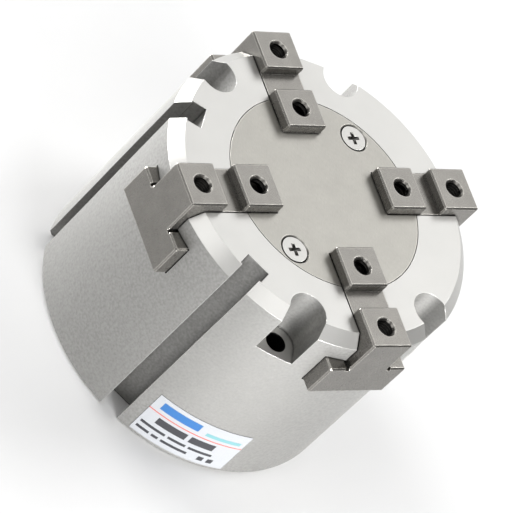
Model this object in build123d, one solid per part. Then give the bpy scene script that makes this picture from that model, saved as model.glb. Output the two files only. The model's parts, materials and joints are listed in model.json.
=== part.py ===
from build123d import *
from math import atan2, cos, degrees, radians, sin, sqrt
import os

# Four-jaw concentric pneumatic gripper. A double-acting piston in the lower half pulls a
# wedge cam down; four T-footed master jaws hooked on the cam's 45 degree faces run inwards.
# Millimetres. +Z is the gripping axis, z = 0 the mounting face, the jaws lie on +-X and +-Y.
# Everything is drawn with the piston up, which is the fully open position.

# driving dimensions
BODY_R = 43.0
BODY_H = 63.0
TOTAL_H = 66.0
PISTON_BORE_R = 31.5
STROKE = 8.0

# body outline
FACE_CHAMFER = 3.0
FOOT_CHAMFER = 1.0
LOCATING_R = 34.0
LOCATING_DEPTH = 1.5

# running and sliding clearances
SLIDE_GAP = 0.1
JAW_GAP = 0.2
SEAL_GAP = 0.05
WEDGE_GAP = 0.05
SCREW_CLEARANCE = 0.2

# master jaw
JAW_W = 12.0
JAW_OUTER_X = 45.1
BOSS_L = 11.0
INNER_BOSS_X = 17.1
OUTER_BOSS_X = JAW_OUTER_X - BOSS_L
GROOVE_FLOOR_Z = BODY_H + 0.2
NECK_INNER_X = 25.4
WING_HALF_W = 11.75
WING_INNER_X = 24.3
WING_LOW_Z = 44.6
WING_TOP_Z = 55.2
TONGUE_TIP_X = 14.3
TONGUE_TOP_Z = 59.7
RELIEF_W = 1.0
RELIEF_D = 0.8
EDGE_BREAK = 0.4
JAW_HOLE_R = 2.5
JAW_HOLE_X = (22.6, 39.6)
OUTER_HOLE_DEPTH = 10.0
HOLE_BREAK = 0.2
JAW_ANGLES = (0, 90, 180, 270)

# centre plate and its screws
PLATE_R = 27.2
PLATE_SEAT_R = 27.4
PLATE_T = 3.0
PLATE_SLOT_INNER_X = INNER_BOSS_X + 0.1
PLATE_SCREW_R = 22.85
PLATE_SCREW_ANGLES = (45, 225)
SCREW_HEAD_R = 3.5
SCREW_SINK_R = 4.05
SCREW_HEAD_H = 1.9
SCREW_HEAD_DROP = 0.15
SCREW_SHANK_R = 2.0
SCREW_LENGTH = 9.0
SCREW_TURN = 45
RECESS_R = 1.8
RECESS_TIP_R = 0.8
RECESS_SLOT_W = 1.0
RECESS_DEPTH = 1.7

# wedge cam
CAM_LOW_Z = 46.0
CAM_TOP_Z = 59.0
CAM_CORE_R = 15.5
CAM_WELL_R = 16.2
CAM_ARM_HALF_W = 6.5
CAM_ARM_TOP_Z = 54.8
CAM_ARM_R = 25.0
ARM_CLEARANCE = 0.2
WEDGE_X_AT_TOP = 12.0
HOOK_NECK_W = 4.5
HOOK_HEAD_W = 8.0
HOOK_NECK_D = 2.0
HOOK_DEPTH = 4.0
HOOK_ROOT = 0.5
HOOK_TIP_X = 12.4
CAM_FLOOR_GAP = 0.5
POCKET_FLOOR_Z = CAM_LOW_Z - STROKE - CAM_FLOOR_GAP
POCKET_REACH = 26.0

# cam bolt
BOLT_R = 3.0
BOLT_HEAD_R = 4.9
BOLT_HEAD_H = 5.3
BOLT_SEAT_Z = 52.5
BOLT_LOW_Z = 34.0
WASHER_T = 1.0
WASHER_R = 5.2
CAM_COUNTERBORE_R = 5.3
HEX_ACROSS_FLATS = 5.0
HEX_DEPTH = 3.0

# piston, rod and their rings
CHAMBER_LOW_Z = 9.5
CHAMBER_TOP_Z = 31.0
PISTON_R = 31.42
PISTON_LOW_Z = 18.4
PISTON_TOP_Z = 30.0
ROD_R = 8.0
ROD_SPIGOT_R = 6.0
ROD_NOSE_R = 5.0
ROD_NOSE_H = 2.0
MAGNET = (26.5, 30.9, 19.4, 22.0)
PISTON_SEAL = (28.2, PISTON_BORE_R - SEAL_GAP, 23.2, 25.8)
SEAL_VEE_DEPTH = 0.6
WEAR_RING = (30.2, PISTON_BORE_R - SEAL_GAP, 27.0, 29.0)
UPPER_BUMPER = (12.0, 15.5, 29.0, 30.5)
LOWER_BUMPER = (10.0, 13.5, 17.9, 19.4)
ROD_O_RING_R = 6.95
ROD_O_RING_WIRE_R = 0.8

# rod seal in the partition above the piston chamber
ROD_SEAL = (ROD_R + SEAL_GAP, 11.5, 32.5, 35.9)
LIP_GROOVE_HALF_W = 0.6
LIP_GROOVE_DEPTH = 1.6
SEAL_RETAINER = (8.6, 12.5, 36.0, 37.2)

# end cap and snap ring
CAP_R = 32.45
CAP_SEAT_R = 32.5
CAP_LOW_Z = 3.95
CAP_DISH_R = 24.0
CAP_DISH_DEPTH = 1.5
CAP_O_RING_R = 31.55
CAP_O_RING_WIRE_R = 0.9
CAP_O_RING_Z = 6.85
CAP_PULLER_R = 18.0
PULLER_HOLE_R = 1.6
PULLER_DEPTH = 2.5
SNAP_RING_Z = 2.4
SNAP_RING_T = 1.5
SNAP_RING_R = 33.6
SNAP_RING_W = 2.6
SNAP_GROOVE_R = 33.7
SNAP_GAP_HALF_W = 5.0
SNAP_LUG_R = 2.9
SNAP_LUG_HOLE_R = 1.1
SNAP_LUG_INSET = 1.2
SNAP_LUG_SETBACK = 1.6

# mounting holes, ports and sensor grooves
MOUNT_R = 38.6
MOUNT_ANGLES = (60, 120, 240, 300)
POCKET_HALF_W = 5.1
SCREW_POCKET_FLOOR_Z = 48.5
THROUGH_HOLE_R = 2.7
MOUNT_THREAD_R = 3.0
MOUNT_THREAD_DEPTH = 15.0
DOWEL_R = 2.0
DOWEL_DEPTH = 4.0
DOWEL_CENTRE_R = 38.6
PORT_THREAD_R = 2.5
PORT_THREAD_DEPTH = 5.0
PORT_PASSAGE_R = 1.0
PORT_FACE_R = 4.3
PORT_FACE_X = 42.4
PORT_HEIGHTS = (10.8, 29.6)
SENSOR_ANGLES = (145, 215)
SENSOR_FLOOR_R = 35.6
SENSOR_LIP_R = 39.6
SENSOR_HEAD_HALF_W = 3.4
SENSOR_MOUTH_HALF_W = 2.8

# rating label, a thin sticker on the side
LABEL_ANGLES = (223.4, 259.2)
LABEL_Z = (1.75, 17.0)
LABEL_T = 0.12

BELOW = (Align.CENTER, Align.CENTER, Align.MIN)
PAST = 1.0


def disc(radius, low, high):
    """A round bar about the gripping axis between two heights."""
    return Pos(0, 0, low) * Cylinder(radius, high - low, align=BELOW)


def ring(inner_r, outer_r, low, high):
    """A plain ring about the gripping axis."""
    return disc(outer_r, low, high) - disc(inner_r, low - PAST, high + PAST)


def block(x_range, half_w, z_range):
    """A box along +X, centred on the jaw's own plane."""
    length = x_range[1] - x_range[0]
    height = z_range[1] - z_range[0]
    return Pos(sum(x_range) / 2, 0, z_range[0]) * Box(length, 2 * half_w, height, align=BELOW)


def upright(radius, x, low, high):
    """An upright round bar standing on the +X half-plane."""
    return Pos(x, 0, 0) * disc(radius, low, high)


def spread(shape, angles):
    """The same shape turned to each angle about the gripping axis."""
    return [Rot(0, 0, angle) * shape for angle in angles]


def wedge_side(clearance, inward):
    """The half-space on one side of the 45 degree wedge plane, as a large triangular bar."""
    reach = TOTAL_H
    x_at_top = WEDGE_X_AT_TOP + clearance * sqrt(2)
    high = (x_at_top - reach, CAM_TOP_Z + reach)
    low = (x_at_top + reach, CAM_TOP_Z - reach)
    corner = (high[0], low[1]) if inward else (low[0], high[1])
    outline = make_face(Polyline(high, low, corner, close=True))
    return extrude(Plane.XZ * outline, amount=reach / 2, both=True)


def hook_profile(grow):
    """T-shaped section of the hook that ties a jaw to the cam, open side on the wedge plane."""
    neck = (HOOK_NECK_W / 2 + grow, HOOK_NECK_D - grow)
    head = (HOOK_HEAD_W / 2 + grow, HOOK_DEPTH + grow)
    root = -HOOK_ROOT
    outline = Polyline(
        (-neck[0], root), (-neck[0], neck[1]), (-head[0], neck[1]), (-head[0], head[1]),
        (head[0], head[1]), (head[0], neck[1]), (neck[0], neck[1]), (neck[0], root), close=True,
    )
    return make_face(outline)


def hook_bar(clearance, grow):
    """A long T bar lying along the wedge plane and sunk into the cam's side of it."""
    on_plane = Plane(
        origin=(WEDGE_X_AT_TOP + clearance * sqrt(2), 0, CAM_TOP_Z),
        x_dir=(0, 1, 0),
        z_dir=(-1, 0, 1),
    )
    section = on_plane * hook_profile(grow)
    return extrude(section, amount=TOTAL_H / 2, both=True)


def cam_pocket():
    """Clearance below the jaws for the cam's four arms and its core."""
    pocket = disc(CAM_WELL_R, POCKET_FLOOR_Z, BODY_H - PLATE_T)
    arm = block((0, POCKET_REACH), CAM_ARM_HALF_W + ARM_CLEARANCE, (POCKET_FLOOR_Z, WING_LOW_Z))
    for slot in spread(arm, JAW_ANGLES):
        pocket += slot
    return pocket


def jaw_slot():
    """Radial T-slot for one jaw, open through the face and the side."""
    reach = BODY_R + PAST
    neck = block((0, reach), JAW_W / 2 + JAW_GAP, (WING_TOP_Z - PAST, BODY_H + PAST))
    wings = block((0, reach), WING_HALF_W + JAW_GAP, (WING_LOW_Z - SLIDE_GAP, WING_TOP_Z + SLIDE_GAP))
    return neck + wings


def screw_pocket():
    """U-shaped pocket open to the side, with its screw hole down to the mounting face."""
    height = (SCREW_POCKET_FLOOR_Z, BODY_H + PAST)
    pocket = upright(POCKET_HALF_W, MOUNT_R, *height)
    pocket += block((MOUNT_R, BODY_R + PAST), POCKET_HALF_W, height)
    through = upright(THROUGH_HOLE_R, MOUNT_R, -PAST, BODY_H)
    thread = upright(MOUNT_THREAD_R, MOUNT_R, -PAST, MOUNT_THREAD_DEPTH)
    return pocket + through + thread


def sensor_groove():
    """Full-length T-shaped groove for a magnetic switch."""
    height = (-PAST, BODY_H + PAST)
    head = block((SENSOR_FLOOR_R, SENSOR_LIP_R), SENSOR_HEAD_HALF_W, height)
    mouth = block((SENSOR_FLOOR_R, BODY_R + PAST), SENSOR_MOUTH_HALF_W, height)
    return head + mouth


def port(height):
    """Threaded air port on the +X side with a flat spot face and a passage into the chamber."""
    drills = (
        (PORT_FACE_R, PORT_FACE_X, BODY_R + PAST),
        (PORT_THREAD_R, BODY_R - PORT_THREAD_DEPTH, BODY_R + PAST),
        (PORT_PASSAGE_R, PISTON_BORE_R - PAST, BODY_R),
    )
    holes = []
    for radius, start, end in drills:
        holes.append(Pos(start, 0, height) * Rot(0, 90, 0) * Cylinder(radius, end - start, align=BELOW))
    return holes[0] + holes[1] + holes[2]


def bottom_bores():
    """Stepped bore from the mounting face: recess, snap ring groove, cap seat and chamber."""
    bores = disc(LOCATING_R, -PAST, LOCATING_DEPTH)
    bores += disc(SNAP_GROOVE_R, SNAP_RING_Z, CAP_LOW_Z)
    bores += disc(CAP_SEAT_R, 0, CHAMBER_LOW_Z)
    bores += disc(PISTON_BORE_R, 0, CHAMBER_TOP_Z)
    return bores


def partition_bores():
    """Rod bore, rod seal housing and retainer seat in the wall above the chamber."""
    bores = disc(ROD_R + SEAL_GAP, CHAMBER_TOP_Z - PAST, POCKET_FLOOR_Z + PAST)
    bores += disc(ROD_SEAL[1], ROD_SEAL[2], POCKET_FLOOR_Z + PAST)
    bores += disc(SEAL_RETAINER[1], SEAL_RETAINER[2], POCKET_FLOOR_Z + PAST)
    return bores


def make_body():
    body = disc(BODY_R, 0, BODY_H)
    body = chamfer(body.edges().group_by(Axis.Z)[-1], FACE_CHAMFER)
    body = chamfer(body.edges().group_by(Axis.Z)[0], FOOT_CHAMFER)
    body -= bottom_bores()
    body -= partition_bores()
    body -= cam_pocket()
    for slot in spread(jaw_slot(), JAW_ANGLES):
        body -= slot
    body -= disc(PLATE_SEAT_R, BODY_H - PLATE_T, BODY_H + PAST)
    for pocket in spread(screw_pocket(), MOUNT_ANGLES):
        body -= pocket
    for groove in spread(sensor_groove(), SENSOR_ANGLES):
        body -= groove
    thread = upright(SCREW_SHANK_R, PLATE_SCREW_R, BODY_H - SCREW_LENGTH - PAST, BODY_H)
    for hole in spread(thread, PLATE_SCREW_ANGLES):
        body -= hole
    for height in PORT_HEIGHTS:
        body -= port(height)
    body -= Rot(0, 0, 180) * upright(DOWEL_R, DOWEL_CENTRE_R, -PAST, DOWEL_DEPTH)
    return body


def countersunk(head_r, shank_r, top, length):
    """Countersunk head cone and shank, both hanging from the height of the head's top."""
    shoulder = top - SCREW_HEAD_H
    cone = Pos(PLATE_SCREW_R, 0, shoulder) * Cone(shank_r, head_r, SCREW_HEAD_H, align=BELOW)
    return cone + upright(shank_r, PLATE_SCREW_R, top - length, shoulder)


def make_end_plate():
    plate = disc(PLATE_R, BODY_H - PLATE_T, BODY_H)
    notch_x = (PLATE_SLOT_INNER_X, PLATE_R + PAST)
    notch = block(notch_x, JAW_W / 2 + JAW_GAP, (BODY_H - PLATE_T - PAST, BODY_H + PAST))
    for slot in spread(notch, JAW_ANGLES):
        plate -= slot
    hole = countersunk(SCREW_SINK_R, SCREW_SHANK_R + SCREW_CLEARANCE, BODY_H, PLATE_T + PAST)
    for sink in spread(hole, PLATE_SCREW_ANGLES):
        plate -= sink
    return plate


def cross_recess():
    """Tapered cross recess below the local origin."""
    bar = Box(2 * RECESS_R, RECESS_SLOT_W, 2 * RECESS_DEPTH)
    bars = bar + Rot(0, 0, 90) * bar
    taper = Pos(0, 0, -RECESS_DEPTH) * Cone(RECESS_TIP_R, RECESS_R, RECESS_DEPTH, align=BELOW)
    return bars & taper


def make_plate_screw():
    """Cross-recess countersunk screw at the +X position."""
    top = BODY_H - SCREW_HEAD_DROP
    screw = countersunk(SCREW_HEAD_R, SCREW_SHANK_R - SEAL_GAP, top, SCREW_LENGTH)
    return screw - Pos(PLATE_SCREW_R, 0, top) * Rot(0, 0, SCREW_TURN) * cross_recess()


def jaw_foot():
    """T foot, tongue and neck, cut back to the wedge plane."""
    tongue = block((TONGUE_TIP_X, JAW_OUTER_X), JAW_W / 2, (WING_LOW_Z, TONGUE_TOP_Z))
    wings = block((WING_INNER_X, JAW_OUTER_X), WING_HALF_W, (WING_LOW_Z, WING_TOP_Z))
    wings = chamfer(wings.edges().filter_by(Axis.X), EDGE_BREAK)
    neck = block((NECK_INNER_X, JAW_OUTER_X), JAW_W / 2, (WING_LOW_Z, GROOVE_FLOOR_Z))
    return (tongue + wings + neck) - wedge_side(WEDGE_GAP, inward=True)


def relief_grooves(jaw):
    """Tool reliefs in the wing tops beside the neck."""
    inner_y = JAW_W / 2
    for side in (-1, 1):
        middle = (WING_INNER_X + JAW_OUTER_X) / 2
        cutter = Box(JAW_OUTER_X, RELIEF_W, 2 * RELIEF_D)
        jaw -= Pos(middle, side * (inner_y + RELIEF_W / 2), WING_TOP_Z) * cutter
    return jaw


def jaw_hook():
    """The T rib on the jaw's wedge face, short of its neighbours when the jaws are closed."""
    bar = hook_bar(WEDGE_GAP, grow=0.0)
    span = block((HOOK_TIP_X, JAW_OUTER_X), JAW_W / 2, (WING_LOW_Z, TONGUE_TOP_Z))
    limit = WEDGE_X_AT_TOP + CAM_TOP_Z - TONGUE_TIP_X
    return bar & span & block((0, JAW_OUTER_X), JAW_W / 2, (0, limit))


def broken_boss(x_start):
    """A finger boss with small bevels on every edge but the lower ones."""
    boss = block((x_start, x_start + BOSS_L), JAW_W / 2, (GROOVE_FLOOR_Z, TOTAL_H))
    edges = boss.edges() - boss.edges().group_by(Axis.Z)[0]
    return chamfer(edges, EDGE_BREAK)


def threaded_hole(x, depth):
    """Tapping hole from the top of a boss, with a small entry bevel."""
    cone = Cone(JAW_HOLE_R, JAW_HOLE_R + HOLE_BREAK, HOLE_BREAK, align=BELOW)
    return upright(JAW_HOLE_R, x, TOTAL_H - depth, TOTAL_H) + Pos(x, 0, TOTAL_H - HOLE_BREAK) * cone


def make_jaw():
    """One master jaw in its +X position."""
    jaw = jaw_foot()
    outer_face = jaw.faces().sort_by(Axis.X)[-1]
    jaw = chamfer(outer_face.edges().sort_by(Axis.Z)[:-1], EDGE_BREAK)
    jaw = relief_grooves(jaw)
    jaw += jaw_hook()
    for x_start in (INNER_BOSS_X, OUTER_BOSS_X):
        jaw += broken_boss(x_start)
    jaw -= threaded_hole(JAW_HOLE_X[0], TOTAL_H - BODY_H)
    jaw -= threaded_hole(JAW_HOLE_X[1], OUTER_HOLE_DEPTH)
    return jaw


def make_wedge_cam():
    cam = disc(CAM_CORE_R, CAM_LOW_Z, CAM_TOP_Z)
    arm = block((0, CAM_ARM_R), CAM_ARM_HALF_W, (CAM_LOW_Z, CAM_ARM_TOP_Z))
    for piece in spread(arm, JAW_ANGLES):
        cam += piece
    for piece in spread(wedge_side(0, inward=False), JAW_ANGLES):
        cam -= piece
    for groove in spread(hook_bar(0, grow=WEDGE_GAP), JAW_ANGLES):
        cam -= groove
    cam -= disc(CAM_COUNTERBORE_R, BOLT_SEAT_Z, CAM_TOP_Z + PAST)
    cam -= disc(BOLT_R + SCREW_CLEARANCE, CAM_LOW_Z - PAST, CAM_TOP_Z)
    cam -= disc(ROD_NOSE_R + SEAL_GAP, CAM_LOW_Z - PAST, CAM_LOW_Z + ROD_NOSE_H + SLIDE_GAP)
    return cam


def make_cam_bolt():
    """Hexagon socket screw that clamps the cam on the rod."""
    head_low = BOLT_SEAT_Z + WASHER_T
    head_top = head_low + BOLT_HEAD_H
    head = disc(BOLT_HEAD_R, head_low, head_top)
    head = chamfer(head.edges().group_by(Axis.Z)[-1], EDGE_BREAK)
    hexagon = RegularPolygon(HEX_ACROSS_FLATS / 2, 6, major_radius=False)
    socket = extrude(Pos(0, 0, head_top - HEX_DEPTH) * hexagon, amount=HEX_DEPTH + PAST)
    return head + disc(BOLT_R - SEAL_GAP, BOLT_LOW_Z, head_low) - socket


def make_piston():
    piston = disc(PISTON_R, PISTON_LOW_Z, PISTON_TOP_Z)
    piston = chamfer(piston.edges().filter_by(GeomType.CIRCLE), EDGE_BREAK)
    for inner_r, _, low, high in (MAGNET, PISTON_SEAL, WEAR_RING):
        piston -= ring(inner_r - SEAL_GAP, BODY_R, low, high)
    for inner_r, outer_r, low, high in (UPPER_BUMPER, LOWER_BUMPER):
        piston -= ring(inner_r - SEAL_GAP, outer_r + SEAL_GAP, low, high)
    piston -= disc(ROD_SPIGOT_R + SEAL_GAP, PISTON_LOW_Z - PAST, PISTON_TOP_Z + PAST)
    groove_low = PISTON_TOP_Z - 2 * ROD_O_RING_WIRE_R
    piston -= disc(ROD_O_RING_R + ROD_O_RING_WIRE_R + SEAL_GAP, groove_low, PISTON_TOP_Z + PAST)
    return piston


def make_piston_rod():
    rod = disc(ROD_R, PISTON_TOP_Z, CAM_LOW_Z)
    rod += disc(ROD_SPIGOT_R, PISTON_LOW_Z, PISTON_TOP_Z)
    rod += disc(ROD_NOSE_R, CAM_LOW_Z, CAM_LOW_Z + ROD_NOSE_H)
    return rod - disc(BOLT_R, BOLT_LOW_Z - PAST, CAM_TOP_Z)


def make_o_ring(centre_r, wire_r, height):
    return Pos(0, 0, height) * Torus(centre_r, wire_r)


def make_piston_seal():
    """Double-lip seal: a ring with a shallow vee on its running face."""
    inner_r, outer_r, low, high = PISTON_SEAL
    middle = (low + high) / 2
    floor = (outer_r - SEAL_VEE_DEPTH, middle)
    rims = [(outer_r + SEAL_VEE_DEPTH, middle + side * 2 * SEAL_VEE_DEPTH) for side in (-1, 1)]
    vee = make_face(Polyline(floor, *rims, close=True))
    return ring(inner_r, outer_r, low, high) - revolve(Plane.XZ * vee, Axis.Z)


def make_rod_seal():
    """Rod seal with a lip groove facing the chamber."""
    inner_r, outer_r, low, high = ROD_SEAL
    middle = (inner_r + outer_r) / 2
    groove_top = low + LIP_GROOVE_DEPTH
    lip_groove = ring(middle - LIP_GROOVE_HALF_W, middle + LIP_GROOVE_HALF_W, low - PAST, groove_top)
    return ring(inner_r, outer_r, low, high) - lip_groove


def make_end_cap():
    cap = disc(CAP_R, CAP_LOW_Z, CHAMBER_LOW_Z)
    cap = chamfer(cap.edges().group_by(Axis.Z)[0], EDGE_BREAK)
    groove_half = CAP_O_RING_WIRE_R + SLIDE_GAP
    floor_r = CAP_O_RING_R - CAP_O_RING_WIRE_R - SEAL_GAP
    cap -= ring(floor_r, BODY_R, CAP_O_RING_Z - groove_half, CAP_O_RING_Z + groove_half)
    cap -= disc(CAP_DISH_R, 0, CAP_LOW_Z + CAP_DISH_DEPTH)
    puller = upright(PULLER_HOLE_R, CAP_PULLER_R, 0, CAP_LOW_Z + CAP_DISH_DEPTH + PULLER_DEPTH)
    for hole in spread(puller, (0, 180)):
        cap -= hole
    return cap


def make_snap_ring():
    """Internal snap ring with two eyed lugs at its gap."""
    low = SNAP_RING_Z + SEAL_GAP / 2
    high = low + SNAP_RING_T
    clip = ring(SNAP_RING_R - SNAP_RING_W, SNAP_RING_R, low, high)
    clip -= block((0, BODY_R), SNAP_GAP_HALF_W, (0, CHAMBER_LOW_Z))
    lug_x = SNAP_RING_R - SNAP_RING_W - SNAP_LUG_INSET
    lug_angle = degrees(atan2(SNAP_GAP_HALF_W + SNAP_LUG_SETBACK, lug_x))
    for angle in (-lug_angle, lug_angle):
        clip += Rot(0, 0, angle) * upright(SNAP_LUG_R, lug_x, low, high)
    for angle in (-lug_angle, lug_angle):
        clip -= Rot(0, 0, angle) * upright(SNAP_LUG_HOLE_R, lug_x, 0, CHAMBER_LOW_Z)
    return clip


def make_rating_label():
    """A curved patch just outside the body's side."""
    start, end = LABEL_ANGLES
    shell = ring(BODY_R, BODY_R + LABEL_T, *LABEL_Z)
    reach = 2 * BODY_R
    corners = [(0, 0)] + [(reach * cos(radians(a)), reach * sin(radians(a))) for a in (start, end)]
    sector = extrude(make_face(Polyline(*corners, close=True)), amount=BODY_H)
    return shell & sector


def save(name, shape):
    shape.label = name
    export_step(shape, f"parts/{name}.step")


def main():
    os.makedirs("parts", exist_ok=True)
    jaw = make_jaw()
    parts = {
        "body": make_body(),
        "end_plate": make_end_plate(),
        "end_plate_screws": Compound(children=spread(make_plate_screw(), PLATE_SCREW_ANGLES)),
        "wedge_cam": make_wedge_cam(),
        "cam_bolt": make_cam_bolt(),
        "cam_bolt_washer": ring(BOLT_R + SCREW_CLEARANCE, WASHER_R, BOLT_SEAT_Z, BOLT_SEAT_Z + WASHER_T),
        "piston": make_piston(),
        "piston_rod": make_piston_rod(),
        "piston_rod_o_ring": make_o_ring(ROD_O_RING_R, ROD_O_RING_WIRE_R, PISTON_TOP_Z - ROD_O_RING_WIRE_R),
        "piston_seal": make_piston_seal(),
        "piston_magnet": ring(*MAGNET),
        "piston_wear_ring": ring(*WEAR_RING),
        "upper_bumper": ring(*UPPER_BUMPER),
        "lower_bumper": ring(*LOWER_BUMPER),
        "rod_seal": make_rod_seal(),
        "rod_seal_retainer": ring(*SEAL_RETAINER),
        "end_cap": make_end_cap(),
        "end_cap_o_ring": make_o_ring(CAP_O_RING_R, CAP_O_RING_WIRE_R, CAP_O_RING_Z),
        "snap_ring": make_snap_ring(),
        "rating_label": make_rating_label(),
    }
    for number, angle in enumerate(JAW_ANGLES, start=1):
        parts[f"jaw_{number}"] = Rot(0, 0, angle) * jaw
    for name, shape in parts.items():
        save(name, shape)


main()
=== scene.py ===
import json
import math

import bmesh
import bpy
from mathutils import Matrix, Quaternion, Vector


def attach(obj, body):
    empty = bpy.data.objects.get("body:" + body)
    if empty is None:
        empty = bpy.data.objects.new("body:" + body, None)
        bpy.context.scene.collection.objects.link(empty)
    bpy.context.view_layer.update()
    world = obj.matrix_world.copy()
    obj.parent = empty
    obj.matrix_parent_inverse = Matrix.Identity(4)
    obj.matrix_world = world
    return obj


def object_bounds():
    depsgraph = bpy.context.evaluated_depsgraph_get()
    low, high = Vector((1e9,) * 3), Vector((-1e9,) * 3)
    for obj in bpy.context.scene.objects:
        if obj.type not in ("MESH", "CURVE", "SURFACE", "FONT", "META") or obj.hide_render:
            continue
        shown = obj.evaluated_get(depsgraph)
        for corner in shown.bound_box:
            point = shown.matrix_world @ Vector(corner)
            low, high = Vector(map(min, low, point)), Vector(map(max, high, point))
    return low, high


# Looks of the four-jaw pneumatic gripper: materials, threads, hole bevels, label print, studio.
# All lengths are in metres in the CAD frame: +Z out of the jaw face, jaws on +-X and +-Y.

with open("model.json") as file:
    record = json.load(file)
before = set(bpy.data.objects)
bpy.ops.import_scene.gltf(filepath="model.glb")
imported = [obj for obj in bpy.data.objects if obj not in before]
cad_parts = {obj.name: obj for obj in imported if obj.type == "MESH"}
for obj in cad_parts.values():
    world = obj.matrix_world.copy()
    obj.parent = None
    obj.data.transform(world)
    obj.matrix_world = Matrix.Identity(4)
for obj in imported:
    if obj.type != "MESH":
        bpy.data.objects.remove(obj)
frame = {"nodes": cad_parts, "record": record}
cad_low, cad_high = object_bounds()
nodes = frame["nodes"]

MM = 0.001

# sizes that follow the CAD
BODY_R = 43.0 * MM
JAW_ANGLES = {"jaw_1": 0, "jaw_2": 90, "jaw_3": 180, "jaw_4": 270}
JAW_HOLE_BREAK = 0.2 * MM
MOUNT_R = 38.6 * MM
MOUNT_ANGLES = (60, 120, 240, 300)
PORT_HEIGHTS = (10.8 * MM, 29.6 * MM)
PORT_MOUTH_X = 42.4 * MM

# tapped holes: thread radius, pitch, and how far the ridge stands in from the hole's wall
M5_R = 2.5 * MM
M5_PITCH = 0.8 * MM
M5_RIDGE = 0.42 * MM
M6_R = 3.0 * MM
M6_PITCH = 1.0 * MM
M6_RIDGE = 0.5 * MM

# a jaw's tapped holes: distance from the gripping axis, and how deep the thread goes
JAW_HOLES = {"inner": (22.6 * MM, 2.8 * MM), "outer": (39.6 * MM, 9.6 * MM)}

# how deep the body's threads go
MOUNT_THREAD_DEPTH = 14.0 * MM
PORT_THREAD_DEPTH = 4.2 * MM

# corners of a thread ridge and start of its first turn, in pitches down the hole
CREST_START = 0.42
CREST_END = 0.5
RIDGE_FOOT = 0.92
FIRST_TURN = 0.25

# added rings and ridges are sunk this far into the hole's wall
WALL_SINK = 0.02 * MM

# how finely threads, bevel rings and label print are divided
STEPS_PER_TURN = 32
BEVEL_STEPS = 64
DEGREES_PER_STEP = 1.2

# label: first angle and width in degrees, and how far film and ink stand out
LABEL_START = 223.4
LABEL_SPAN = 35.8
LABEL_T = 0.12 * MM
INK_T = 0.01 * MM

# upright bores with painted shade inside: axes in one quarter of the plan, and the reach of the painted
# shade
MOUNT_TURN = math.radians(MOUNT_ANGLES[0])
MOUNT_AXES = [(MOUNT_R * math.cos(MOUNT_TURN), MOUNT_R * math.sin(MOUNT_TURN))]
MOUNT_SHADE_R = 2.76 * MM
JAW_REACHES = [reach for reach, depth in JAW_HOLES.values()]
JAW_AXES = [(reach, 0.0) for reach in JAW_REACHES] + [(0.0, reach) for reach in JAW_REACHES]
JAW_SHADE_R = M5_R + WALL_SINK
# colour of the painted shade inside the bores
BORE_SHADE = (0.012, 0.012, 0.012)

# blasted walls: their painted shade, and how deep the pits on a flat face are beside a wall's
WALL_SHADE = (0.76, 0.76, 0.76)
FACE_PITTING = 0.25

# an edge counts in full where the rounded and the flat normal agree no better than this cosine
EDGE_CLOSENESS = 0.875

# how close together a turned face's rings are, as a scale of Blender's wave texture
TURNING_SCALE = 900.0

# noise stretch that draws the grain out along one axis
UPRIGHT_GRAIN = (1.0, 1.0, 0.12)
ALONG_Y_GRAIN = (1.0, 0.1, 1.0)

# sockets of Blender's mix node when it mixes colours
MIX_FACTOR = 0
MIX_FIRST = 6
MIX_SECOND = 7
MIX_RESULT = 2

# studio: floor and ambient light
FLOOR_SIZE = 12.0
FLOOR_GAP = 0.05 * MM
FLOOR_TONE = (0.64, 0.64, 0.64)
FLOOR_DARKER = (0.635, 0.635, 0.635)
FLOOR_LIGHTER = (0.645, 0.645, 0.645)
AMBIENT = 0.12

# camera: what it looks at, from where, and how it is turned
CAMERA_TARGET = Vector((1.3, 1.3, 31.0)) * MM
CAMERA_DISTANCE = 1087.0 * MM
CAMERA_AZIMUTH = -147.0
CAMERA_ELEVATION = 41.6
CAMERA_ROLL = 46.0
CAMERA_LENS = 307.8
SENSOR_WIDTH = 36.0


# ---------------------------------------------------------------- materials

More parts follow.
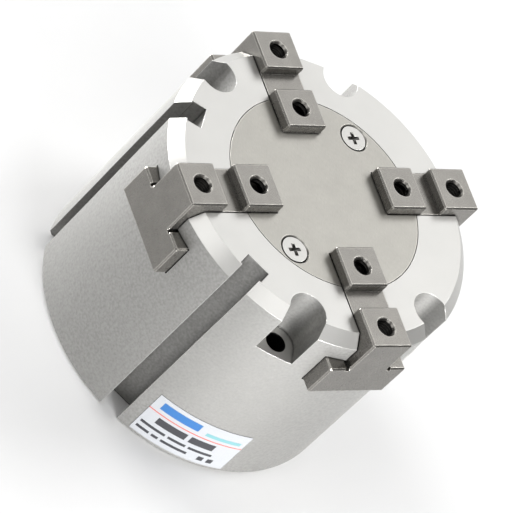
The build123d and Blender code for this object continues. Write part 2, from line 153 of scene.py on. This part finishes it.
class Shader:
    """A small helper that builds one node material around a Principled shader."""

    def __init__(self, name, colour, roughness, metallic):
        self.material = bpy.data.materials.new(name)
        self.material.use_nodes = True
        self.material.diffuse_color = (*colour, 1)
        self.tree = self.material.node_tree
        self.surface = self.tree.nodes["Principled BSDF"]
        self.feed(self.surface.inputs["Base Color"], colour)
        self.feed(self.surface.inputs["Roughness"], roughness)
        self.feed(self.surface.inputs["Metallic"], metallic)
        coordinates = self.node("ShaderNodeTexCoord")
        self.place = coordinates.outputs["Object"]
        self.normal = coordinates.outputs["Normal"]

    def node(self, kind, **settings):
        made = self.tree.nodes.new(kind)
        for key, value in settings.items():
            setattr(made, key, value)
        return made

    def link(self, source, target):
        self.tree.links.new(source, target)

    def feed(self, socket, value):
        """Fills a socket from another node's output, a colour or a number."""
        if isinstance(value, bpy.types.NodeSocket):
            self.link(value, socket)
        elif isinstance(value, tuple):
            socket.default_value = (*value, 1)
        else:
            socket.default_value = value

    def stretched(self, scale):
        """Object coordinates scaled by a different factor along each axis."""
        mapping = self.node("ShaderNodeMapping")
        mapping.inputs["Scale"].default_value = scale
        self.link(self.place, mapping.inputs["Vector"])
        return mapping.outputs["Vector"]

    def noise(self, size, detail, stretch=None):
        """Noise whose features are about `size` metres across."""
        made = self.node("ShaderNodeTexNoise")
        made.inputs["Scale"].default_value = 1.0 / size
        made.inputs["Detail"].default_value = detail
        source = self.stretched(stretch) if stretch else self.place
        self.link(source, made.inputs["Vector"])
        return made.outputs["Fac"]

    def spread(self, source, low, high, start=0.3, end=0.7):
        """Maps what lies from `start` to `end`, as the middle of a noise does, to a range of values."""
        made = self.node("ShaderNodeMapRange")
        made.inputs["From Min"].default_value = start
        made.inputs["From Max"].default_value = end
        made.inputs["To Min"].default_value = low
        made.inputs["To Max"].default_value = high
        self.link(source, made.inputs["Value"])
        return made.outputs["Result"]

    def mixed(self, factor, first, second, blend="MIX"):
        """A mix of two colours; each input is a plain value or another node's output."""
        made = self.node("ShaderNodeMix", data_type="RGBA", blend_type=blend)
        self.feed(made.inputs[MIX_FACTOR], factor)
        self.feed(made.inputs[MIX_FIRST], first)
        self.feed(made.inputs[MIX_SECOND], second)
        return made.outputs[MIX_RESULT]

    def calculated(self, operation, first, second=0.0):
        """The result of one arithmetic step on plain values or other nodes' outputs."""
        made = self.node("ShaderNodeMath", operation=operation)
        self.feed(made.inputs[0], first)
        self.feed(made.inputs[1], second)
        return made.outputs[0]

    def rounded(self, radius):
        """The surface normal as if every edge were rounded to `radius`."""
        made = self.node("ShaderNodeBevel", samples=6)
        made.inputs["Radius"].default_value = radius
        return made.outputs["Normal"]

    def edge_mask(self, radius):
        """One on edges and corners, fading out within `radius`."""
        flat = self.node("ShaderNodeNewGeometry").outputs["Normal"]
        closeness = self.node("ShaderNodeVectorMath", operation="DOT_PRODUCT")
        self.link(self.rounded(radius), closeness.inputs[0])
        self.link(flat, closeness.inputs[1])
        return self.spread(closeness.outputs["Value"], 1.0, 0.0, start=EDGE_CLOSENESS, end=1.0)

    def crevice_shade_mask(self, reach):
        """One on open faces, falling to zero where another face stands within `reach`: it marks where
        shade is painted into gaps.
        """
        made = self.node("ShaderNodeAmbientOcclusion", samples=8)
        made.inputs["Distance"].default_value = reach
        return self.spread(made.outputs["AO"], 0.0, 1.0, start=0.4, end=0.9)

    def bore_shade_mask(self, axes, radius):
        """One inside upright bores of `radius`, whose (x, y) axes stand for all four quarters."""
        apart = self.node("ShaderNodeSeparateXYZ")
        self.link(self.place, apart.inputs[0])
        across = self.calculated("ABSOLUTE", apart.outputs["X"])
        along = self.calculated("ABSOLUTE", apart.outputs["Y"])
        inside = 0.0
        for x, y in axes:
            square_x = self.calculated("POWER", self.calculated("SUBTRACT", across, x), 2.0)
            square_y = self.calculated("POWER", self.calculated("SUBTRACT", along, y), 2.0)
            square = self.calculated("ADD", square_x, square_y)
            near = self.calculated("LESS_THAN", square, radius * radius)
            inside = self.calculated("MAXIMUM", inside, near)
        return inside

    def bump(self, height, strength, distance, radius=None):
        """Bump from a height socket, over edges that look rounded if a radius is given."""
        made = self.node("ShaderNodeBump")
        made.inputs["Strength"].default_value = strength
        made.inputs["Distance"].default_value = distance
        self.link(height, made.inputs["Height"])
        if radius:
            self.link(self.rounded(radius), made.inputs["Normal"])
        self.link(made.outputs["Normal"], self.surface.inputs["Normal"])

    def colour(self, socket):
        self.link(socket, self.surface.inputs["Base Color"])

    def roughness(self, socket):
        self.link(socket, self.surface.inputs["Roughness"])


def shade(colour, factor):
    """A colour made darker or lighter by a factor."""
    return tuple(channel * factor for channel in colour)


def blasted_aluminium(name, colour, roughness):
    """Clear anodised aluminium: upright walls blasted and painted darker as shade, faces and chamfers
    smoother.
    """
    made = Shader(name, colour, roughness, metallic=0.85)
    facing = made.node("ShaderNodeSeparateXYZ")
    made.link(made.normal, facing.inputs[0])
    levelness = made.calculated("ABSOLUTE", facing.outputs["Z"])
    on_wall = made.spread(levelness, 1.0, 0.0, start=0.2, end=0.6)
    depth = made.calculated("ADD", made.calculated("MULTIPLY", on_wall, 1.0 - FACE_PITTING), FACE_PITTING)
    pits = made.calculated("MULTIPLY", made.noise(0.7 * MM, detail=4.0), depth)
    patches = made.noise(9 * MM, detail=4.0)
    tone = made.mixed(made.spread(patches, 0.0, 1.0), shade(colour, 0.96), colour)
    tone = made.mixed(made.spread(pits, 0.0, 0.5), tone, shade(colour, 0.50))
    # painted shade: upright walls made darker than the faces
    tone = made.mixed(on_wall, tone, WALL_SHADE, blend="MULTIPLY")
    # painted highlight: edges and chamfers brightened
    tone = made.mixed(made.edge_mask(0.25 * MM), tone, shade(colour, 1.15))
    # painted shade: the colour falls to 0.15 in narrow gaps and crevices
    tone = made.mixed(made.crevice_shade_mask(0.8 * MM), shade(colour, 0.15), tone)
    # painted shade: near black inside the mounting bores
    tone = made.mixed(made.bore_shade_mask(MOUNT_AXES, MOUNT_SHADE_R), tone, BORE_SHADE)
    made.colour(tone)
    made.roughness(made.spread(pits, roughness - 0.06, roughness + 0.08))
    made.bump(pits, strength=0.3, distance=0.03 * MM, radius=0.12 * MM)
    return made.material


def satin_steel(name, colour, roughness, grain, edge=1.5, patchy=0.12, bores=()):
    """Ground and tumbled steel: directional grain, darker patches, worn edges painted brighter as
    highlight, painted shade in narrow gaps and inside `bores`.
    """
    made = Shader(name, colour, roughness, metallic=0.95)
    brushing = made.noise(0.12 * MM, detail=3.0, stretch=grain)
    patches = made.noise(4 * MM, detail=5.0)
    tone = made.mixed(made.spread(patches, 0.0, 1.0), shade(colour, 1.0 - patchy), shade(colour, 1.03))
    tone = made.mixed(made.spread(brushing, 0.0, 0.4), tone, shade(colour, 0.78))
    # edges brightened: partly wear, partly painted highlight
    tone = made.mixed(made.edge_mask(0.5 * MM), tone, shade(colour, edge))
    # painted shade: the colour falls to 0.15 in narrow gaps and crevices
    tone = made.mixed(made.crevice_shade_mask(1.0 * MM), shade(colour, 0.15), tone)
    # painted shade: near black inside the jaws' tapped holes
    if bores:
        tone = made.mixed(made.bore_shade_mask(bores, JAW_SHADE_R), tone, BORE_SHADE)
    made.colour(tone)
    made.roughness(made.spread(brushing, roughness - 0.05, roughness + 0.09))
    made.bump(brushing, strength=0.15, distance=0.02 * MM, radius=0.12 * MM)
    return made.material


def turned_metal(name, colour, roughness, crevice=True, edge=1.25, edge_highlight_width=0.25 * MM):
    """Lathe-turned metal: fine rings about the gripping axis, edges painted brighter as highlight, and
    painted shade in narrow gaps if `crevice`.
    """
    made = Shader(name, colour, roughness, metallic=1.0)
    rings = made.node("ShaderNodeTexWave", wave_type="RINGS", rings_direction="Z")
    rings.inputs["Scale"].default_value = TURNING_SCALE
    rings.inputs["Distortion"].default_value = 0.6
    rings.inputs["Detail"].default_value = 2.0
    made.link(made.place, rings.inputs["Vector"])
    cloud = made.noise(3 * MM, detail=4.0)
    tone = made.mixed(made.spread(cloud, 0.0, 1.0), shade(colour, 0.9), shade(colour, 1.05))
    # painted highlight: edges brightened
    tone = made.mixed(made.edge_mask(edge_highlight_width), tone, shade(colour, edge))
    # painted shade: the colour falls to 0.12 in narrow gaps, where asked for
    if crevice:
        tone = made.mixed(made.crevice_shade_mask(0.6 * MM), shade(colour, 0.12), tone)
    made.colour(tone)
    made.roughness(made.spread(cloud, roughness - 0.05, roughness + 0.1))
    made.bump(rings.outputs["Fac"], strength=0.12, distance=0.02 * MM, radius=0.1 * MM)
    return made.material


def moulded(name, colour, roughness):
    """Rubber or plastic with a fine moulded grain and a little dust in it."""
    made = Shader(name, colour, roughness, metallic=0.0)
    grain = made.noise(0.15 * MM, detail=4.0)
    dust = made.noise(2.5 * MM, detail=5.0)
    dusty = tuple(0.7 * channel + 0.03 for channel in colour)
    made.colour(made.mixed(made.spread(dust, 0.0, 0.5), colour, dusty))
    made.roughness(made.spread(grain, roughness - 0.1, roughness + 0.1))
    made.bump(grain, strength=0.2, distance=0.02 * MM, radius=0.08 * MM)
    return made.material


def printed_film(name, colour):
    """Slightly glossy polyester film with a faint paper-like mottling."""
    made = Shader(name, colour, roughness=0.35, metallic=0.0)
    fibres = made.noise(0.35 * MM, detail=5.0)
    made.colour(made.mixed(made.spread(fibres, 0.0, 0.5), colour, shade(colour, 0.93)))
    made.roughness(made.spread(fibres, 0.28, 0.45))
    made.bump(fibres, strength=0.08, distance=0.01 * MM)
    return made.material


def make_finishes():
    """One finish for each of the record's material slots, and two for the added threads and bevels."""
    return {
        "body_aluminium": blasted_aluminium("blasted aluminium", (0.44, 0.435, 0.42), 0.42),
        "plate_steel": satin_steel("ground plate steel", (0.32, 0.311, 0.286), 0.36, ALONG_Y_GRAIN,
                                   patchy=0.04),
        "screw_steel": turned_metal("plain screw steel", (0.40, 0.395, 0.38), 0.3),
        "jaw_steel": satin_steel("satin jaw steel", (0.21, 0.202, 0.187), 0.27, UPRIGHT_GRAIN, edge=2.4,
                                 bores=JAW_AXES),
        "hard_steel": satin_steel("ground cam steel", (0.30, 0.29, 0.28), 0.25, UPRIGHT_GRAIN),
        "black_steel": turned_metal("oiled black steel", (0.04, 0.04, 0.042), 0.35),
        "piston_aluminium": turned_metal("turned aluminium", (0.55, 0.55, 0.55), 0.3),
        "rod_chrome": turned_metal("chromed rod", (0.6, 0.6, 0.61), 0.12),
        "seal_rubber": moulded("nitrile rubber", (0.015, 0.015, 0.016), 0.55),
        "bumper_rubber": moulded("urethane rubber", (0.03, 0.025, 0.02), 0.5),
        "magnet_plastic": moulded("bonded magnet", (0.045, 0.04, 0.04), 0.45),
        "wear_plastic": moulded("filled acetal", (0.16, 0.11, 0.05), 0.5),
        "cap_aluminium": turned_metal("turned cap aluminium", (0.55, 0.55, 0.54), 0.34),
        # painted shade: the jaws' threads are near black inside their holes, with their crests painted
        # bright as highlight lines
        "thread": turned_metal("cut thread", (0.02, 0.0194, 0.018), 0.4, crevice=False, edge=12.0,
                               edge_highlight_width=0.08 * MM),
        "bevel": turned_metal("turned bevel", (0.15, 0.144, 0.133), 0.27, crevice=False),
        "label_film": printed_film("label film", (0.25, 0.258, 0.27)),
    }


def dress_nodes(finishes):
    """Gives every CAD node the finish of its material slot."""
    for part in frame["record"]["subparts"]:
        node = nodes[part["node"]]
        node.data.materials.clear()
        node.data.materials.append(finishes[part["material_slot"]])


# ------------------------------------------------------------- mesh pieces

def around(radius, angle, height):
    """A point at a radius, an angle in radians and a height about the Z axis."""
    return Vector((radius * math.cos(angle), radius * math.sin(angle), height))


def skin(bm, rows, closed=False):
    """Joins rows of vertices with faces, round into a ring if closed, else with a face at each end."""
    following = rows[1:] + rows[:1] if closed else rows[1:]
    for first, second in zip(rows, following):
        for i in range(len(first)):
            j = (i + 1) % len(first)
            bm.faces.new((first[i], first[j], second[j], second[i]))
    if not closed:
        bm.faces.new(rows[0])
        bm.faces.new(rows[-1])


def new_piece(name, bm, material, body):
    """Turns a bmesh into a shown piece that rides on a CAD body."""
    bmesh.ops.recalc_face_normals(bm, faces=bm.faces)
    mesh = bpy.data.meshes.new(name)
    bm.to_mesh(mesh)
    bm.free()
    mesh.materials.append(material)
    piece = bpy.data.objects.new(name, mesh)
    bpy.context.scene.collection.objects.link(piece)
    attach(piece, body)


def thread_ridge(hole_r, ridge, pitch, length, place):
    """A closed helical rib on the wall of a hole whose mouth is at the local origin, going down -Z."""
    turns = int(length / pitch) - 1
    section = (
        (hole_r + WALL_SINK, 0.0),
        (hole_r - ridge, -CREST_START * pitch),
        (hole_r - ridge, -CREST_END * pitch),
        (hole_r + WALL_SINK, -RIDGE_FOOT * pitch),
    )
    bm = bmesh.new()
    rows = []
    for step in range(turns * STEPS_PER_TURN + 1):
        angle = math.tau * step / STEPS_PER_TURN
        drop = -pitch * step / STEPS_PER_TURN - FIRST_TURN * pitch
        points = [around(radius, angle, height + drop) for radius, height in section]
        rows.append([bm.verts.new(place @ point) for point in points])
    skin(bm, rows)
    return bm


def entry_bevel(hole_r, ridge, drop, place):
    """A bevelled ring at a tapped hole's mouth that leads from the hole's wall to the thread's crest."""
    section = (
        (hole_r + WALL_SINK, -drop),
        (hole_r, -drop),
        (hole_r - ridge, -drop - ridge),
        (hole_r + WALL_SINK, -drop - ridge),
    )
    bm = bmesh.new()
    rows = []
    for step in range(BEVEL_STEPS):
        angle = math.tau * step / BEVEL_STEPS
        points = [around(radius, angle, height) for radius, height in section]
        rows.append([bm.verts.new(place @ point) for point in points])
    skin(bm, rows, closed=True)
    return bm


def curved_patch(start, end, low, high, radius, thickness):
    """A thin patch of ink wrapped on the body's side between two angles and two heights."""
    section = ((radius, low), (radius + thickness, low), (radius + thickness, high), (radius, high))
    steps = max(2, int((end - start) / DEGREES_PER_STEP))
    bm = bmesh.new()
    rows = []
    for step in range(steps + 1):
        angle = math.radians(start + (end - start) * step / steps)
        rows.append([bm.verts.new(around(r, angle, height)) for r, height in section])
    skin(bm, rows)
    return bm


def make_jaw_threads(finishes):
    """M5 threads in the two tapped holes of each jaw, each below a bevelled mouth."""
    for jaw, angle in JAW_ANGLES.items():
        for which, (reach, depth) in JAW_HOLES.items():
            turn = Matrix.Rotation(math.radians(angle), 4, "Z")
            mouth = turn @ Matrix.Translation((reach, 0, cad_high.z))
            bm = entry_bevel(M5_R, M5_RIDGE, JAW_HOLE_BREAK, mouth)
            new_piece(f"{jaw}_{which}_hole_bevel", bm, finishes["bevel"], f"{jaw}_slide")
            place = mouth @ Matrix.Translation((0, 0, -JAW_HOLE_BREAK - M5_RIDGE))
            bm = thread_ridge(M5_R, M5_RIDGE, M5_PITCH, depth - JAW_HOLE_BREAK - M5_RIDGE, place)
            new_piece(f"{jaw}_{which}_thread", bm, finishes["thread"], f"{jaw}_slide")


def make_mount_threads(finishes):
    """M6 threads seen from the mounting face."""
    flip = Matrix.Rotation(math.pi, 4, "X")
    for number, angle in enumerate(MOUNT_ANGLES, start=1):
        turn = Matrix.Rotation(math.radians(angle), 4, "Z")
        place = turn @ Matrix.Translation((MOUNT_R, 0, 0)) @ flip
        bm = thread_ridge(M6_R, M6_RIDGE, M6_PITCH, MOUNT_THREAD_DEPTH, place)
        new_piece(f"mounting_thread_{number}", bm, finishes["body_aluminium"], "housing")


def make_port_threads(finishes):
    """M5 threads in the two air ports on +X."""
    outward = Matrix.Rotation(math.pi / 2, 4, "Y")
    for number, height in enumerate(PORT_HEIGHTS, start=1):
        place = Matrix.Translation((PORT_MOUTH_X, 0, height)) @ outward
        bm = thread_ridge(M5_R, M5_RIDGE, M5_PITCH, PORT_THREAD_DEPTH, place)
        new_piece(f"port_thread_{number}", bm, finishes["body_aluminium"], "housing")


def make_label_print():
    """Generic printed bars on the label in place of any wording."""
    inks = {
        "blue": printed_film("blue ink", (0.014, 0.08, 0.22)),
        "teal": printed_film("teal ink", (0.10, 0.22, 0.235)),
        "red": printed_film("red ink", (0.32, 0.065, 0.052)),
        "dark": printed_film("dark ink", (0.02, 0.02, 0.024)),
    }
    # each row: name, ink, lower and upper height in mm, blocks as shares of the label's width
    rows = (
        ("logo", "blue", 12.9, 15.6, ((0.08, 0.50),)),
        ("tag", "teal", 12.6, 13.8, ((0.58, 0.95),)),
        ("rule", "red", 11.25, 11.6, ((0.0, 1.0),)),
        ("title", "dark", 7.9, 10.3, ((0.14, 0.46), (0.50, 0.76))),
        ("line_1", "dark", 5.6, 6.5, ((0.03, 0.30), (0.33, 0.52), (0.55, 0.80))),
        ("line_2", "dark", 3.4, 4.3, ((0.03, 0.17), (0.20, 0.27), (0.30, 0.58))),
        ("marks", "dark", 3.0, 4.6, ((0.70, 0.76), (0.80, 0.86))),
    )
    for name, ink, low, high, blocks in rows:
        for number, (left, right) in enumerate(blocks, start=1):
            start = LABEL_START + LABEL_SPAN * left
            end = LABEL_START + LABEL_SPAN * right
            bm = curved_patch(start, end, low * MM, high * MM, BODY_R + LABEL_T, INK_T)
            new_piece(f"label_{name}_{number}", bm, inks[ink], "housing")


# ------------------------------------------------------------------ studio

def direction(azimuth, elevation):
    """The unit vector towards an azimuth and an elevation in degrees."""
    level = math.cos(math.radians(elevation))
    turn = math.radians(azimuth)
    return Vector((math.cos(turn) * level, math.sin(turn) * level, math.sin(math.radians(elevation))))


def make_floor():
    """A plain pale floor that the body's mounting face stands on."""
    bpy.ops.mesh.primitive_plane_add(size=FLOOR_SIZE, location=(0, 0, cad_low.z - FLOOR_GAP))
    floor = bpy.context.object
    floor.name = "studio_floor"
    finish = Shader("pale floor", FLOOR_TONE, 0.9, metallic=0.0)
    mottling = finish.noise(40 * MM, detail=2.0)
    finish.colour(finish.mixed(finish.spread(mottling, 0.0, 1.0), FLOOR_DARKER, FLOOR_LIGHTER))
    floor.data.materials.append(finish.material)


def make_world():
    """Faint white light from all round, and plain colours in the render."""
    world = bpy.data.worlds.new("studio")
    world.use_nodes = True
    backdrop = world.node_tree.nodes["Background"]
    backdrop.inputs["Color"].default_value = (1.0, 1.0, 1.0, 1)
    backdrop.inputs["Strength"].default_value = AMBIENT
    bpy.context.scene.world = world
    bpy.context.scene.view_settings.view_transform = "Standard"


def area_light(name, azimuth, elevation, power, width, height=None, distance=1.2):
    """A soft box aimed at the object's middle, square unless a height is given."""
    data = bpy.data.lights.new(name, "AREA")
    data.shape = "RECTANGLE"
    data.size = width
    data.size_y = height or width
    data.energy = power
    lamp = bpy.data.objects.new(name, data)
    back = direction(azimuth, elevation)
    lamp.location = CAMERA_TARGET + back * distance
    lamp.rotation_mode = "QUATERNION"
    lamp.rotation_quaternion = (-back).to_track_quat("-Z", "Y")
    bpy.context.scene.collection.objects.link(lamp)


def make_lights():
    """High soft boxes for the face and chamfers, and two low wide ones for the body's side."""
    area_light("key", azimuth=-5, elevation=42, power=8.5, width=0.5)
    area_light("face_sheen", azimuth=33, elevation=42, power=1.6, width=0.5, distance=0.9)
    area_light("back", azimuth=90, elevation=60, power=4.0, width=0.8)
    area_light("left_chamfer", azimuth=175, elevation=45, power=3.6, width=0.6)
    area_light("front_chamfer", azimuth=-118, elevation=52, power=2.6, width=0.5)
    area_light("front_right", azimuth=-97, elevation=4, power=44.0, width=0.6, height=0.22)
    area_light("left_rim", azimuth=111, elevation=4, power=48.0, width=0.6, height=0.22)


def make_camera():
    """The camera that was fitted to the photograph, with its roll."""
    data = bpy.data.cameras.new("camera")
    data.sensor_width = SENSOR_WIDTH
    data.lens = CAMERA_LENS
    data.clip_start = 0.01
    data.clip_end = 20.0
    camera = bpy.data.objects.new("camera", data)
    back = direction(CAMERA_AZIMUTH, CAMERA_ELEVATION)
    camera.location = CAMERA_TARGET + back * CAMERA_DISTANCE
    level = (-back).to_track_quat("-Z", "Y")
    camera.rotation_mode = "QUATERNION"
    camera.rotation_quaternion = level @ Quaternion((0, 0, 1), math.radians(CAMERA_ROLL))
    bpy.context.scene.collection.objects.link(camera)
    bpy.context.scene.camera = camera


finishes = make_finishes()
dress_nodes(finishes)
make_jaw_threads(finishes)
make_mount_threads(finishes)
make_port_threads(finishes)
make_label_print()
make_floor()
make_world()
make_lights()
make_camera()
